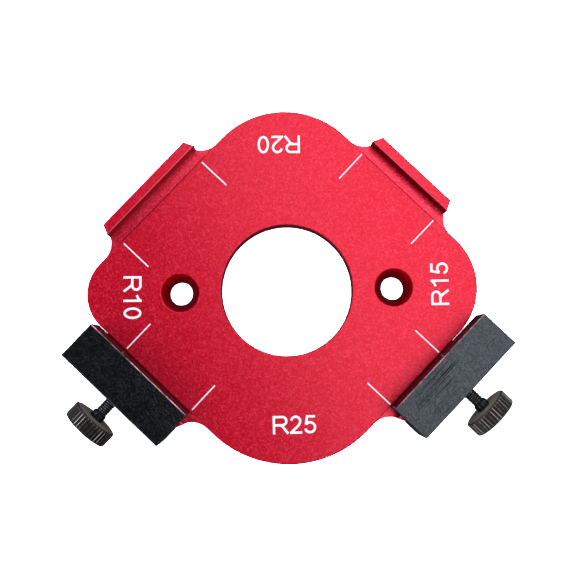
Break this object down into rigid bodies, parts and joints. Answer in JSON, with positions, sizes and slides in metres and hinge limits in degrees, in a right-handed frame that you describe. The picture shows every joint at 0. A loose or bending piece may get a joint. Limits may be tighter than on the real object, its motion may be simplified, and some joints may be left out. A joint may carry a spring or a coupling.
{
  "type": "corner radius router jig",
  "caption": "Flat red template plate whose corners have different radii, with a clear hole and sliding fence blocks clamped by knurled thumb screws, for routing rounded board corners.",
  "frame": {"origin": "centre of the large hole, on the plate's flat back", "axes": "+Z out of the marked face, from the flat back up; +X towards the side whose fence block is on the right; -Y towards the side with the front fence block; corners: R15 at +X+Y, R20 at -X+Y, R10 at -X-Y, R25 at +X-Y"},
  "size_m": [0.0942, 0.0942, 0.014],
  "materials": {
    "red_anodised": "bead-blasted and anodised red, satin",
    "black_anodised": "milled and anodised black, satin, with fine lines along its length",
    "black_steel": "black oxide, semi-gloss",
    "gunmetal_steel": "brown-black gunmetal, satin, knurled rim"
  },
  "bodies": {
    "plate": {"base_plate": "red_anodised"},
    "right_block": {"right_fence_block": "black_anodised"},
    "right_stud": {"right_clamp_stud": "black_steel"},
    "right_knob": {"right_clamp_knob": "gunmetal_steel"},
    "front_block": {"front_fence_block": "black_anodised"},
    "front_stud": {"front_clamp_stud": "black_steel"},
    "front_knob": {"front_clamp_knob": "gunmetal_steel"}
  },
  "joints": [
    {"name": "right_block_slide", "type": "slide", "parent": "plate", "child": "right_block", "axis": [0, 1, 0], "range_m": [-0.0129, 0.0005]},
    {"name": "right_screw_travel", "type": "slide", "parent": "right_block", "child": "right_stud", "axis": [1, 0, 0], "range_m": [0, 0.003]},
    {"name": "right_knob_turn", "type": "hinge", "parent": "right_stud", "child": "right_knob", "pos_m": [0.0504, 0.0112, 0.0072], "axis": [1, 0, 0], "range_deg": [0, 2160]},
    {"name": "front_block_slide", "type": "slide", "parent": "plate", "child": "front_block", "axis": [1, 0, 0], "range_m": [-0.0055, 0.0129]},
    {"name": "front_screw_travel", "type": "slide", "parent": "front_block", "child": "front_stud", "axis": [0, -1, 0], "range_m": [0, 0.003]},
    {"name": "front_knob_turn", "type": "hinge", "parent": "front_stud", "child": "front_knob", "pos_m": [-0.0112, -0.0504, 0.0072], "axis": [0, -1, 0], "range_deg": [0, 2160]}
  ],
  "couplings": [
    {"joint": "right_knob_turn", "follows": "right_screw_travel", "rad_per_m": 12566},
    {"joint": "front_knob_turn", "follows": "front_screw_travel", "rad_per_m": 12566}
  ]
}
